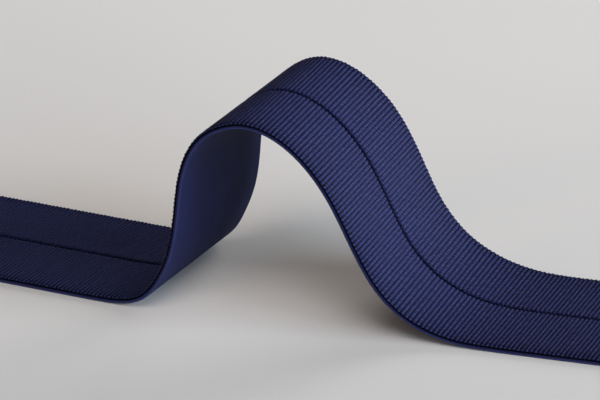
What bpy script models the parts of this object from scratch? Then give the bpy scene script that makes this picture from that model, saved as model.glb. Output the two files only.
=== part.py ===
"""A length of navy fold-over elastic, lying in one tall hump with both ends flat.

The elastic is one woven band: a ribbed face with a fold line sunk down its middle, over a plain
back. It is modelled as one closed solid. Metres, +Z up. X runs along the band, Y across it, and
the origin is at the middle of the underside of its box.
"""

import math

import bmesh
import bpy
import numpy as np

# Driving sizes
LENGTH = 0.156
WIDTH = 0.0254
THICKNESS = 0.00105
RIB_COUNT = 243
RIB_HEIGHT = 0.00016
FOLD_LINE_WIDTH = 0.0007
FOLD_LINE_DEPTH = 0.00042
BEND_BLEND = 0.0042

# How the band lies, a row for each bend, from its left end to its right end.
# Distance: along the band, in metres. Slope: rise of the band about its rib, in degrees.
# Heading: turn of the band in plan, in degrees. Tilt: rise of the rib towards the far edge, in degrees.
LAY_COLUMNS = ("distance", "slope", "heading", "tilt")
LAY = (
    (0.040, 0.0, -4.0, 0.0),
    (0.046, 6.0, -3.0, 0.0),
    (0.050, 56.0, -2.0, 0.0),
    (0.054, 62.0, -1.0, 0.0),
    (0.059, 77.0, -1.0, -0.5),
    (0.065, 84.0, -0.5, -1.0),
    (0.071, 70.0, 0.0, -1.5),
    (0.076, 43.0, 0.5, -2.5),
    (0.081, 25.0, 1.0, 0.0),
    (0.086, -12.0, 2.0, 2.0),
    (0.091, -36.0, 1.5, 3.0),
    (0.096, -51.0, 1.0, 3.5),
    (0.101, -64.0, 1.0, 4.0),
    (0.106, -69.0, 1.0, 4.0),
    (0.111, -66.0, 1.5, 4.0),
    (0.116, -52.0, 2.0, 4.0),
    (0.121, -31.0, 3.0, 3.4),
    (0.126, -15.0, 3.5, 2.0),
    (0.131, -3.2, 3.5, 0.3),
    (0.137, 0.0, 3.5, 0.0),
)

# Each rib takes two rows of points: its valley and its crest.
RIB_PITCH = LENGTH / RIB_COUNT
ROW_STEP = RIB_PITCH / 2.0
ROW_COUNT = 2 * RIB_COUNT + 1

NAVY = (0.030, 0.036, 0.105, 1.0)


def clear_scene():
    """Remove the objects that a new file starts with."""
    for scene_object in list(bpy.data.objects):
        bpy.data.objects.remove(scene_object, do_unlink=True)


def lay_column(name):
    """One column of the lay table at every row, with each bend blended into the next."""
    column = LAY_COLUMNS.index(name)
    distances = np.arange(ROW_COUNT) * ROW_STEP
    values = np.interp(distances, [row[0] for row in LAY], [row[column] for row in LAY])
    half_window = int(round(BEND_BLEND / ROW_STEP / 2.0))
    window = 2 * half_window + 1
    padded = np.pad(values, half_window, mode="edge")
    return np.radians(np.convolve(padded, np.ones(window) / window, mode="valid"))


def lay_frames():
    """Centre point, rib direction and face normal of every row of the band."""
    slope = lay_column("slope")
    heading = lay_column("heading")
    tilt = lay_column("tilt")
    level = np.stack([np.cos(heading), np.sin(heading), np.zeros(ROW_COUNT)], axis=1)
    rib = np.stack([-np.sin(heading) * np.cos(tilt), np.cos(heading) * np.cos(tilt), np.sin(tilt)], axis=1)
    upright = np.cross(level, rib)
    along = np.cos(slope)[:, None] * level + np.sin(slope)[:, None] * upright
    normal = np.cos(slope)[:, None] * upright - np.sin(slope)[:, None] * level

    # The way down is stretched to the height of the way up, so both ends lie at one level.
    steps = (along[1:] + along[:-1]) * ROW_STEP / 2.0
    rising = steps[:, 2] > 0.0
    climb = steps[rising, 2].sum()
    drop = -steps[~rising, 2].sum()
    steps[~rising, 2] *= climb / drop
    centre = np.vstack([np.zeros(3), np.cumsum(steps, axis=0)])
    centre[:, 2] += THICKNESS
    return centre, rib, normal


def section(row):
    """Outline of the band at one row, as (across, depth below the rib crests) round the section."""
    edge = WIDTH / 2.0
    face = 0.0 if row % 2 else RIB_HEIGHT
    return (
        (-edge, THICKNESS),
        (-edge, face),
        (-FOLD_LINE_WIDTH / 2.0, face),
        (0.0, FOLD_LINE_DEPTH),
        (FOLD_LINE_WIDTH / 2.0, face),
        (edge, face),
        (edge, THICKNESS),
    )


def band_points():
    """Points of the whole band, one ring for each row, centred over the origin."""
    centre, rib, normal = lay_frames()
    rings = []
    for row in range(ROW_COUNT):
        ring = [centre[row] + across * rib[row] - depth * normal[row] for across, depth in section(row)]
        rings.append(ring)
    points = np.array(rings)
    corner_low = points.reshape(-1, 3).min(axis=0)
    corner_high = points.reshape(-1, 3).max(axis=0)
    points[:, :, :2] -= ((corner_low + corner_high) / 2.0)[:2]
    return points


def build_band():
    """A flat grid is wrapped round the band's section, row by row, then closed at both ends."""
    points = band_points()
    ring_size = points.shape[1]
    mesh_builder = bmesh.new()
    bmesh.ops.create_grid(mesh_builder, x_segments=ROW_COUNT - 1, y_segments=ring_size, size=0.5)
    for vertex in mesh_builder.verts:
        row = round((vertex.co.x + 0.5) * (ROW_COUNT - 1))
        place = round((vertex.co.y + 0.5) * ring_size)
        vertex.co = points[row, place % ring_size]
    bmesh.ops.remove_doubles(mesh_builder, verts=mesh_builder.verts, dist=1e-6)
    open_edges = [edge for edge in mesh_builder.edges if edge.is_boundary]
    bmesh.ops.holes_fill(mesh_builder, edges=open_edges, sides=ring_size)
    bmesh.ops.recalc_face_normals(mesh_builder, faces=mesh_builder.faces)
    mesh = bpy.data.meshes.new("elastic_band")
    mesh_builder.to_mesh(mesh)
    mesh_builder.free()
    mesh.shade_smooth()
    mesh.set_sharp_from_angle(angle=math.radians(25.0))
    return bpy.data.objects.new("elastic_band", mesh)


def elastic_material():
    """Satin navy yarn."""
    material = bpy.data.materials.new("navy_elastic_yarn")
    material.use_nodes = True
    shader = material.node_tree.nodes["Principled BSDF"]
    shader.inputs["Base Color"].default_value = NAVY
    shader.inputs["Roughness"].default_value = 0.6
    shader.inputs["Metallic"].default_value = 0.0
    return material


def main():
    clear_scene()
    collection = bpy.data.collections.new("fold_over_elastic")
    bpy.context.scene.collection.children.link(collection)
    band = build_band()
    band.data.materials.append(elastic_material())
    collection.objects.link(band)


main()
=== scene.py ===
import math

import bpy
import numpy as np
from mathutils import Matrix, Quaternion, Vector


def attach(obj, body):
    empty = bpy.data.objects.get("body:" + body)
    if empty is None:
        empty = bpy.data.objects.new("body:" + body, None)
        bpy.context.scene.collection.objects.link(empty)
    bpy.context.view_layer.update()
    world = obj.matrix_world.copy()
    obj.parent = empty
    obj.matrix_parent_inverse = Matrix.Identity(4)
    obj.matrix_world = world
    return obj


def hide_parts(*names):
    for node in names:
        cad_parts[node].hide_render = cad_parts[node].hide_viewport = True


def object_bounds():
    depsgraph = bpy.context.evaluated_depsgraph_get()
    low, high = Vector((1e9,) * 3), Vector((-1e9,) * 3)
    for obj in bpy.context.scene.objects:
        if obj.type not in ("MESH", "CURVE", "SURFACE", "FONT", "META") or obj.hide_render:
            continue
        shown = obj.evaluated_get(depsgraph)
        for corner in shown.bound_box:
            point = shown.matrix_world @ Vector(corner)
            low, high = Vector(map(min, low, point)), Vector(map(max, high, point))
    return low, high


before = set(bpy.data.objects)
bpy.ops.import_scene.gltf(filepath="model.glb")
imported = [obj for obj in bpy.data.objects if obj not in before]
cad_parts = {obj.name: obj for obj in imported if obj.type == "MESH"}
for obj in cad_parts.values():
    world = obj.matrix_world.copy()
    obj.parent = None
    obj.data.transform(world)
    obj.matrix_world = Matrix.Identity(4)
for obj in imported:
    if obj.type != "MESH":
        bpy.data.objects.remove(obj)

cad_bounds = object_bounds()


# The view
# The photograph looks down across the band's near edge through a long lens, held a little
# off level.
VIEW_FROM = Vector((0.2995, -0.5784, 0.28746))
VIEW_AT = Vector((0.0088, -0.0079, 0.01706))
VIEW_ROLL = -3.0

view_data = bpy.data.cameras.new("camera")
view_data.sensor_width = 36.0
view_data.lens = 300.0
view_data.clip_start = 0.05
view_data.clip_end = 20.0
view = bpy.data.objects.new("camera", view_data)
bpy.context.scene.collection.objects.link(view)
view.location = VIEW_FROM
view.rotation_mode = "QUATERNION"
level_view = (VIEW_AT - VIEW_FROM).to_track_quat("-Z", "Y")
view.rotation_quaternion = level_view @ Quaternion((0.0, 0.0, 1.0), math.radians(VIEW_ROLL))
bpy.context.scene.camera = view
bpy.context.scene.view_settings.view_transform = "Standard"


# The plain back
# The lower cloth of the band is a close, plain weave of nylon round the elastic cores. It is
# flat underneath, and its selvedge shows below the rib ends as two fine cords. The whole band
# lies in one tall hump with both ends flat, and the ribbed face is woven into the same lay.
MM = 0.001
BAND_LENGTH = 156.0 * MM
BAND_WIDTH = 25.4 * MM
BAND_THICKNESS = 1.05 * MM
RIB_COUNT = 243
RIB_PITCH = BAND_LENGTH / RIB_COUNT

# Distance along the band in metres, then its slope, heading and rib tilt in degrees. Each bend
# is blended into the next over BEND_BLEND.
BEND_BLEND = 4.2 * MM
LAY_COLUMNS = ("distance", "slope", "heading", "tilt")
LAY = (
    (0.040, 0.0, -4.0, 0.0),
    (0.046, 6.0, -3.0, 0.0),
    (0.050, 56.0, -2.0, 0.0),
    (0.054, 62.0, -1.0, 0.0),
    (0.059, 77.0, -1.0, -0.5),
    (0.065, 84.0, -0.5, -1.0),
    (0.071, 70.0, 0.0, -1.5),
    (0.076, 43.0, 0.5, -2.5),
    (0.081, 25.0, 1.0, 0.0),
    (0.086, -12.0, 2.0, 2.0),
    (0.091, -36.0, 1.5, 3.0),
    (0.096, -51.0, 1.0, 3.5),
    (0.101, -64.0, 1.0, 4.0),
    (0.106, -69.0, 1.0, 4.0),
    (0.111, -66.0, 1.5, 4.0),
    (0.116, -52.0, 2.0, 4.0),
    (0.121, -31.0, 3.0, 3.4),
    (0.126, -15.0, 3.5, 2.0),
    (0.131, -3.2, 3.5, 0.3),
    (0.137, 0.0, 3.5, 0.0),
)
LAY_STEP = RIB_PITCH / 2.0
lay_distances = np.arange(2 * RIB_COUNT + 1) * LAY_STEP


def lay_column(name):
    """One column of the lay in radians, with each bend blended into the next."""
    column = LAY_COLUMNS.index(name)
    values = np.interp(lay_distances, [row[0] for row in LAY], [row[column] for row in LAY])
    half_window = int(round(BEND_BLEND / LAY_STEP / 2.0))
    window = 2 * half_window + 1
    padded = np.pad(values, half_window, mode="edge")
    return np.radians(np.convolve(padded, np.ones(window) / window, mode="valid"))


slope = lay_column("slope")
heading = lay_column("heading")
tilt = lay_column("tilt")
level = np.stack([np.cos(heading), np.sin(heading), np.zeros_like(heading)], axis=1)
lay_rib = np.stack([-np.sin(heading) * np.cos(tilt), np.cos(heading) * np.cos(tilt), np.sin(tilt)],
                   axis=1)
upright = np.cross(level, lay_rib)
lay_along = np.cos(slope)[:, None] * level + np.sin(slope)[:, None] * upright
lay_normal = np.cos(slope)[:, None] * upright - np.sin(slope)[:, None] * level

# The way down is stretched to the height of the way up, as in the solid.
lay_steps = (lay_along[1:] + lay_along[:-1]) * LAY_STEP / 2.0
rising = lay_steps[:, 2] > 0.0
lay_steps[~rising, 2] *= lay_steps[rising, 2].sum() / -lay_steps[~rising, 2].sum()
lay_centre = np.vstack([np.zeros(3), np.cumsum(lay_steps, axis=0)])

# The band's four long corners are centred in plan in the solid's box, and its face lies one
# thickness above the surface.
corners = np.concatenate([lay_centre + side * lay_rib - depth * lay_normal
                          for side in (-BAND_WIDTH / 2.0, BAND_WIDTH / 2.0)
                          for depth in (0.0, BAND_THICKNESS)])
box_middle = (cad_bounds[0] + cad_bounds[1]) / 2.0
lay_centre[:, 0] += box_middle.x - (corners[:, 0].min() + corners[:, 0].max()) / 2.0
lay_centre[:, 1] += box_middle.y - (corners[:, 1].min() + corners[:, 1].max()) / 2.0
lay_centre[:, 2] += BAND_THICKNESS


def at_distance(vectors, distances):
    """The lay's centre, rib or normal vectors, read at any distances along the band."""
    return np.stack([np.interp(distances, lay_distances, vectors[:, axis]) for axis in range(3)],
                    axis=1)


def wrapped_band(name, distances, across, depth):
    """A grid is wrapped round the band's section, row by row.

    across and depth hold a row for each distance and a column for each place round the section,
    in metres from the middle of the band and from its face.
    """
    row_count, ring_size = across.shape
    bpy.ops.object.select_all(action="DESELECT")
    bpy.ops.mesh.primitive_grid_add(x_subdivisions=row_count - 1, y_subdivisions=ring_size, size=2.0)
    band = bpy.context.object
    band.name = name
    band.data.name = name
    flat = np.empty(len(band.data.vertices) * 3)
    band.data.vertices.foreach_get("co", flat)
    flat = flat.reshape(-1, 3)
    row = np.rint((flat[:, 0] + 1.0) / 2.0 * (row_count - 1)).astype(int)
    place = np.rint((flat[:, 1] + 1.0) / 2.0 * ring_size).astype(int)
    centre = at_distance(lay_centre, distances)
    rib = at_distance(lay_rib, distances)
    normal = at_distance(lay_normal, distances)
    side = across[row, place % ring_size]
    down = depth[row, place % ring_size]
    points = centre[row] + side[:, None] * rib[row] - down[:, None] * normal[row]
    band.data.vertices.foreach_set("co", points.ravel())

    # The weave map unrolls the band: its distance along the band, and its place round the section,
    # measured both ways from where the section begins.
    girth = np.cumsum(np.hypot(np.diff(across, axis=1, append=across[:, :1]),
                               np.diff(depth, axis=1, append=depth[:, :1])), axis=1)
    girth = np.concatenate([np.zeros((row_count, 1)), girth], axis=1)
    girth[:, (ring_size + 1) // 2:] -= girth[:, -1:]
    weave = band.data.uv_layers.new(name="weave")
    corner_vertex = np.empty(len(band.data.loops), dtype=np.int32)
    band.data.loops.foreach_get("vertex_index", corner_vertex)
    unrolled = np.stack([distances[row], girth[row, place]], axis=1)
    weave.data.foreach_set("uv", unrolled[corner_vertex].astype(np.float32).ravel())
    return band, row, place


# Half of the back's section, from under the face, round the two cords of the selvedge, to the
# middle underneath: millimetres from the middle of the band and from its face.
back_half = np.array([
    (6.00, 0.51), (12.00, 0.46), (12.40, 0.46), (12.58, 0.49), (12.68, 0.55), (12.70, 0.62),
    (12.65, 0.69), (12.65, 0.72), (12.70, 0.78), (12.72, 0.86), (12.70, 0.93), (12.64, 0.99),
    (12.52, 1.03), (12.25, 1.05), (8.00, 1.05), (4.00, 1.05), (0.01, 1.05),
]) * MM
back_ring = np.concatenate([back_half, (back_half * (-1.0, 1.0))[::-1]])
back_across = np.tile(back_ring[:, 0], (len(lay_distances), 1))
back_depth = np.tile(back_ring[:, 1], (len(lay_distances), 1))
back, _, back_place = wrapped_band("elastic_back", lay_distances, back_across, back_depth)

# Each place on the back carries a factor on the cloth's colour, which is painted light and shade:
# painted shade under the rib ends, painted light on the two tight cords of the selvedge, and 1
# elsewhere.
selvedge_painted_light = np.array([0.2, 0.2, 0.2, 0.2, 0.5, 1.2, 1.0, 1.0, 1.9, 2.1, 1.8, 1.5, 1.2,
                          1.0, 1.0, 1.0, 1.0])
back_painted_light = np.concatenate([selvedge_painted_light, selvedge_painted_light[::-1]])
painted_light_and_shade = back.data.attributes.new("painted_light_and_shade", "FLOAT", "POINT")
painted_light_and_shade.data.foreach_set("value", back_painted_light[back_place % len(back_painted_light)].astype(np.float32))

SEAM_GAP = 1e-7
SMOOTH_ANGLE = 60.0


def close_band(band):
    """Welds the seam of a wrapped band, closes its two ends and turns its faces outwards."""
    bpy.ops.object.select_all(action="DESELECT")
    band.select_set(True)
    bpy.context.view_layer.objects.active = band
    bpy.ops.object.mode_set(mode="EDIT")
    bpy.ops.mesh.select_all(action="SELECT")
    bpy.ops.mesh.remove_doubles(threshold=SEAM_GAP)
    bpy.ops.mesh.select_all(action="DESELECT")
    bpy.ops.mesh.select_non_manifold()
    bpy.ops.mesh.fill_holes(sides=0)
    bpy.ops.mesh.select_all(action="SELECT")
    bpy.ops.mesh.normals_make_consistent(inside=False)
    bpy.ops.mesh.select_all(action="DESELECT")
    bpy.ops.object.mode_set(mode="OBJECT")
    band.select_set(True)
    bpy.ops.object.shade_smooth_by_angle(angle=math.radians(SMOOTH_ANGLE))


close_band(back)


def linear(hex_colour):
    """An sRGB hex colour as linear red, green, blue and alpha."""
    channels = [int(hex_colour[start:start + 2], 16) / 255.0 for start in (1, 3, 5)]
    return tuple(c / 12.92 if c <= 0.04045 else ((c + 0.055) / 1.055) ** 2.4 for c in channels) + (1.0,)


def add_node(material, kind, sockets, **settings):
    """Adds a shader node, sets its settings, and fills or links its sockets."""
    node = material.node_tree.nodes.new(kind)
    for setting, value in settings.items():
        setattr(node, setting, value)
    for socket, value in sockets.items():
        if isinstance(value, bpy.types.NodeSocket):
            material.node_tree.links.new(value, node.inputs[socket])
        else:
            node.inputs[socket].default_value = value
    return node


# Nylon in a plain weave: a navy with next to no gloss.
back_cloth = bpy.data.materials.new("plain_woven_nylon")
back_cloth.use_nodes = True
back_shader = back_cloth.node_tree.nodes["Principled BSDF"]
back_map = add_node(back_cloth, "ShaderNodeUVMap", {}, uv_map="weave").outputs["UV"]

# Fine yarns both ways, a third of a millimetre apart, give the cloth its grain. A wave texture
# at scale 1 repeats every WAVE_REPEAT.
WAVE_REPEAT = 0.314
warp = add_node(back_cloth, "ShaderNodeTexWave",
                {"Vector": back_map, "Scale": WAVE_REPEAT / (0.32 * MM), "Distortion": 0.6,
                 "Detail": 1.0},
                bands_direction="X").outputs["Fac"]
weft = add_node(back_cloth, "ShaderNodeTexWave",
                {"Vector": back_map, "Scale": WAVE_REPEAT / (0.29 * MM), "Distortion": 0.6,
                 "Detail": 1.0},
                bands_direction="Y").outputs["Fac"]
crossing = add_node(back_cloth, "ShaderNodeMath", {0: warp, 1: weft},
                    operation="MULTIPLY").outputs["Value"]

# Slow unevenness in the dye, a few millimetres across, keeps the navy from looking printed.
back_mottle = add_node(back_cloth, "ShaderNodeTexNoise",
                       {"Vector": back_map, "Scale": 1.0 / (4.0 * MM), "Detail": 4.0}).outputs["Fac"]
back_tone = add_node(back_cloth, "ShaderNodeMix",
                     {0: back_mottle, 6: linear("#1f2341"), 7: linear("#232748")},
                     data_type="RGBA").outputs[2]

# The grain and the painted light and shade together: dark between yarns, painted shade under the rib
# ends and painted light along the selvedge.
back_grain = add_node(back_cloth, "ShaderNodeMapRange",
                      {"Value": crossing, "To Min": 0.80, "To Max": 1.15}).outputs["Result"]
back_light_and_shade = add_node(back_cloth, "ShaderNodeAttribute", {},
                      attribute_name="painted_light_and_shade").outputs["Fac"]
grain_with_painted_light = add_node(back_cloth, "ShaderNodeMath", {0: back_light_and_shade, 1: back_grain},
                        operation="MULTIPLY").outputs["Value"]
back_colour = add_node(back_cloth, "ShaderNodeVectorMath", {0: back_tone, "Scale": grain_with_painted_light},
                       operation="SCALE").outputs["Vector"]
back_gloss = add_node(back_cloth, "ShaderNodeMapRange",
                      {"Value": crossing, "To Min": 0.62, "To Max": 0.50}).outputs["Result"]
back_bump = add_node(back_cloth, "ShaderNodeBump",
                     {"Height": crossing, "Strength": 0.35, "Distance": 0.03 * MM}).outputs["Normal"]
back_cloth.node_tree.links.new(back_colour, back_shader.inputs["Base Color"])
back_cloth.node_tree.links.new(back_gloss, back_shader.inputs["Roughness"])
back_cloth.node_tree.links.new(back_bump, back_shader.inputs["Normal"])
back_shader.inputs["Specular IOR Level"].default_value = 0.03
back_shader.inputs["Specular Tint"].default_value = linear("#7c8cff")
back.data.materials.append(back_cloth)

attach(back, "root")
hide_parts("elastic_band")


# The ribbed face
# The upper cloth is woven in satin polyester over thick cords that cross the band, one rib for
# each. The ribs are rounded at the edges, where their yarn loops back, and sink together along
# the fold line.
ROWS_PER_RIB = 10
VALLEY_DEPTH = 0.17 * MM
FOLD_DEPTH = 0.50 * MM

# Half of the face's section from the fold line outwards, in millimetres: the columns across the
# face with their share of the fold, then the rib's end and the gap's end beside it.
face_columns = np.array([0.0, 0.15, 0.23, 0.32, 0.45, 0.70, 1.10, 2.5, 5.0, 7.5, 10.0, 11.5]) * MM
fold_share = np.array([1.0, 0.97, 0.75, 0.35, 0.10, 0.02, 0.0, 0.0, 0.0, 0.0, 0.0, 0.0])
crest_end = np.array([
    (12.05, 0.00), (12.38, 0.02), (12.60, 0.08), (12.70, 0.17),
    (12.70, 0.26), (12.60, 0.34), (12.38, 0.41), (12.10, 0.52),
]) * MM
valley_end = np.array([
    (11.98, 0.17), (12.28, 0.15), (12.50, 0.17), (12.59, 0.22),
    (12.58, 0.29), (12.48, 0.35), (12.28, 0.41), (12.05, 0.52),
]) * MM

# Every rib swells from its gap and back, and the loop at its end is a little narrower than the
# rib. The fold line is wider between the ribs than on them.
SWELL_POWER = 0.95
LOOP_POWER = 1.6
FOLD_POWER_GAP = 0.75
FOLD_POWER_RIB = 1.25
face_distances = np.arange(ROWS_PER_RIB * RIB_COUNT + 1) * RIB_PITCH / ROWS_PER_RIB
phase = (np.arange(len(face_distances)) % ROWS_PER_RIB) / ROWS_PER_RIB
face_rib = np.minimum(np.arange(len(face_distances)) // ROWS_PER_RIB, RIB_COUNT - 1)
swell = np.sin(np.pi * phase)[:, None] ** SWELL_POWER
loop = swell ** LOOP_POWER
fold = fold_share ** (FOLD_POWER_GAP + (FOLD_POWER_RIB - FOLD_POWER_GAP) * swell)

# Each rib lies a little deeper, and reaches a little further out or less far, than the next.
SINK_MOST = 0.035 * MM
SINK_EVERY_OTHER = 0.012 * MM
REACH_LEAST = -0.05 * MM
REACH_MOST = 0.02 * MM
random = np.random.default_rng(seed=11)
rib_sink = random.uniform(0.0, SINK_MOST, RIB_COUNT)[face_rib]
rib_sink += (face_rib % 2) * SINK_EVERY_OTHER
rib_reach = random.uniform(REACH_LEAST, REACH_MOST, (2, RIB_COUNT))[:, face_rib]

half_depth = VALLEY_DEPTH - (VALLEY_DEPTH - rib_sink)[:, None] * swell
half_depth = half_depth * (1.0 - fold) + FOLD_DEPTH * fold
half_across = np.tile(face_columns, (len(face_distances), 1))

# A rib's end sinks with the rib in its upper half, and reaches out everywhere but at the two
# places where it meets the face and the back.
end_sinks = np.array([1.0, 1.0, 1.0, 1.0, 0.0, 0.0, 0.0, 0.0])
end_reaches = np.array([0.0, 1.0, 1.0, 1.0, 1.0, 1.0, 1.0, 0.0])
end_depth = crest_end[:, 1] * loop + valley_end[:, 1] * (1.0 - loop)
end_depth = end_depth + rib_sink[:, None] * swell * end_sinks
face_half_depth = np.concatenate([half_depth, end_depth], axis=1)
halves_across = []
for reach in rib_reach:
    end_across = crest_end[:, 0] * loop + valley_end[:, 0] * (1.0 - loop)
    end_across = end_across + reach[:, None] * swell * end_reaches
    halves_across.append(np.concatenate([half_across, end_across], axis=1))
face_across = np.concatenate([halves_across[0], -halves_across[1][:, :0:-1]], axis=1)
face_depth = np.concatenate([face_half_depth, face_half_depth[:, :0:-1]], axis=1)
face, face_row, face_place = wrapped_band("elastic_ribbed_face", face_distances, face_across,
                                          face_depth)

# Each place on the face carries how open it lies to the light, which the cloth's colour uses as painted
# shade: 1 on a rib's back, less between the ribs, least between their ends, and 0 in the fold line.
GAP_OPEN = 0.25
FOLD_CLOSING = 1.8
TIP_CLOSING = 1.5
edge_gap = np.array([1.0, 1.0, 1.0, 1.0, 1.0, 1.0, 1.0, 1.0, 1.0, 1.1, 1.4, 2.0])
tip_open = np.array([0.85, 0.70, 1.00, 0.85, 0.50, 0.25, 0.10, 0.0])
face_open = (GAP_OPEN + (1.0 - GAP_OPEN) * swell) ** edge_gap * (1.0 - fold) ** FOLD_CLOSING
half_open = np.concatenate([face_open, swell ** TIP_CLOSING * tip_open], axis=1)
openness = np.concatenate([half_open, half_open[:, :0:-1]], axis=1)
painted_shade_openness = face.data.attributes.new("painted_shade_openness", "FLOAT", "POINT")
painted_shade_openness.data.foreach_set("value",
                       openness[face_row, face_place % openness.shape[1]].astype(np.float32))
close_band(face)

# Satin polyester: navy, with a faint blue gloss along the ribs.
rib_cloth = bpy.data.materials.new("ribbed_satin_polyester")
rib_cloth.use_nodes = True
rib_shader = rib_cloth.node_tree.nodes["Principled BSDF"]
rib_map = add_node(rib_cloth, "ShaderNodeUVMap", {}, uv_map="weave").outputs["UV"]

# The yarn crosses each rib at a slant, a little over half a millimetre apart, and shows as a
# faint row of dots.
slant = add_node(rib_cloth, "ShaderNodeMapping",
                 {"Vector": rib_map, "Rotation": (0.0, 0.0, math.radians(64.0))}).outputs["Vector"]
filament = add_node(rib_cloth, "ShaderNodeTexWave",
                    {"Vector": slant, "Scale": WAVE_REPEAT / (0.56 * MM), "Distortion": 4.0,
                     "Detail": 2.0, "Detail Scale": 1.5},
                    bands_direction="X").outputs["Fac"]

# Short bright flecks along the ribs, where single filaments lie a little proud. In the colour they are
# partly the yarn's grain and partly painted glints of light.
stretched = add_node(rib_cloth, "ShaderNodeMapping",
                     {"Vector": rib_map,
                      "Scale": (1.0 / (0.20 * MM), 1.0 / (0.75 * MM), 1.0)}).outputs["Vector"]
fleck = add_node(rib_cloth, "ShaderNodeTexNoise",
                 {"Vector": stretched, "Scale": 1.0, "Detail": 2.0, "Roughness": 0.6}).outputs["Fac"]
thread = add_node(rib_cloth, "ShaderNodeMix", {0: 0.25, 2: fleck, 3: filament},
                  data_type="FLOAT").outputs[0]

# Slow unevenness in the dye, and painted shade between the ribs and in the fold line.
rib_mottle = add_node(rib_cloth, "ShaderNodeTexNoise",
                      {"Vector": rib_map, "Scale": 1.0 / (6.0 * MM), "Detail": 3.0}).outputs["Fac"]
rib_tone = add_node(rib_cloth, "ShaderNodeMix",
                    {0: rib_mottle, 6: linear("#232746"), 7: linear("#262b4e")},
                    data_type="RGBA").outputs[2]
rib_open = add_node(rib_cloth, "ShaderNodeAttribute", {}, attribute_name="painted_shade_openness").outputs["Fac"]
shade = add_node(rib_cloth, "ShaderNodeMapRange",
                 {"Value": rib_open, "To Min": 0.06, "To Max": 1.06}).outputs["Result"]
# The yarn's grain and the painted glints of its bright flecks, as a factor on the colour.
grain_and_painted_glints = add_node(rib_cloth, "ShaderNodeMapRange",
                 {"Value": thread, "From Min": 0.30, "From Max": 0.70,
                  "To Min": 0.48, "To Max": 1.70}).outputs["Result"]
painted_shade_grain_and_glints = add_node(rib_cloth, "ShaderNodeMath", {0: shade, 1: grain_and_painted_glints},
                           operation="MULTIPLY").outputs["Value"]
rib_colour = add_node(rib_cloth, "ShaderNodeVectorMath", {0: rib_tone, "Scale": painted_shade_grain_and_glints},
                      operation="SCALE").outputs["Vector"]

# Bright threads are the smoothest, and the gloss fades out towards the bottom of the fold line.
rib_gloss = add_node(rib_cloth, "ShaderNodeMapRange",
                     {"Value": thread, "From Min": 0.30, "From Max": 0.70,
                      "To Min": 0.56, "To Max": 0.42}).outputs["Result"]
fold_gloss = add_node(rib_cloth, "ShaderNodeMapRange",
                      {"Value": rib_open, "From Max": GAP_OPEN, "To Max": 0.20}).outputs["Result"]
rib_bump = add_node(rib_cloth, "ShaderNodeBump",
                    {"Height": thread, "Strength": 0.5, "Distance": 0.04 * MM}).outputs["Normal"]
rib_cloth.node_tree.links.new(rib_colour, rib_shader.inputs["Base Color"])
rib_cloth.node_tree.links.new(rib_gloss, rib_shader.inputs["Roughness"])
rib_cloth.node_tree.links.new(rib_bump, rib_shader.inputs["Normal"])
rib_cloth.node_tree.links.new(fold_gloss, rib_shader.inputs["Specular IOR Level"])
rib_shader.inputs["Specular Tint"].default_value = linear("#8a8fff")
face.data.materials.append(rib_cloth)

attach(face, "root")


# The floor
# A sheet of matt pale card, wide enough to fill the view. It darkens a little towards the front:
# painted shade where the light falls off.
bpy.ops.object.select_all(action="DESELECT")
bpy.ops.mesh.primitive_plane_add(size=6.0, location=(0.0, 0.0, 0.0))
floor = bpy.context.object
floor.name = "floor"
floor_card = bpy.data.materials.new("pale_card")
floor_card.use_nodes = True
floor_shader = floor_card.node_tree.nodes["Principled BSDF"]
floor_place = add_node(floor_card, "ShaderNodeTexCoord", {}).outputs["Object"]
floor_y = add_node(floor_card, "ShaderNodeSeparateXYZ", {0: floor_place}).outputs["Y"]
# Painted shade: the card's colour darkens towards the front as the light falls off.
floor_painted_falloff = add_node(floor_card, "ShaderNodeMapRange",
                      {"Value": floor_y, "From Min": -90.0 * MM,
                       "From Max": 90.0 * MM}).outputs["Result"]
floor_tone = add_node(floor_card, "ShaderNodeMix",
                      {0: floor_painted_falloff, 6: linear("#cbcccc"), 7: linear("#dededd")},
                      data_type="RGBA").outputs[2]
floor_card.node_tree.links.new(floor_tone, floor_shader.inputs["Base Color"])
floor_shader.inputs["Roughness"].default_value = 0.9
floor_shader.inputs["Specular IOR Level"].default_value = 0.1
floor.data.materials.append(floor_card)


# The light
# It is low and comes mostly from the right: a window beside the table and the sky through it.
# Matt surfaces throw light back: the wall behind, the ceiling and a card in front. Those three
# light the cloth but make no gloss on it.
def soft_lamp(name, turn, height, distance, size, power, colour, glossy):
    """A square area lamp aimed at the band. turn and height are in degrees, turn 0 along +X."""
    away = Vector((math.cos(math.radians(turn)) * math.cos(math.radians(height)),
                   math.sin(math.radians(turn)) * math.cos(math.radians(height)),
                   math.sin(math.radians(height))))
    lamp_data = bpy.data.lights.new(name, "AREA")
    lamp_data.size = size
    lamp_data.energy = power
    lamp_data.color = linear(colour)[:3]
    lamp = bpy.data.objects.new(name, lamp_data)
    lamp.location = away * distance
    lamp.rotation_euler = (-away).to_track_quat("-Z", "Y").to_euler()
    lamp.visible_glossy = glossy
    bpy.context.scene.collection.objects.link(lamp)


soft_lamp("window", 0.0, 14.0, 4.0, 2.1, 215.0, "#edf6ff", True)
soft_lamp("sky", -30.0, 18.0, 2.6, 1.4, 35.0, "#dceeff", True)
soft_lamp("wall", 75.0, 22.0, 0.8, 0.45, 3.4, "#fff9f4", False)
soft_lamp("ceiling", -60.0, 56.0, 1.7, 0.9, 10.0, "#fff0e4", False)
soft_lamp("front card", -112.0, 14.0, 1.7, 0.9, 6.6, "#ffdfc8", False)

room = bpy.data.worlds.new("room")
room.use_nodes = True
room.node_tree.nodes["Background"].inputs["Color"].default_value = linear("#ffeadb")
room.node_tree.nodes["Background"].inputs["Strength"].default_value = 0.032
bpy.context.scene.world = room
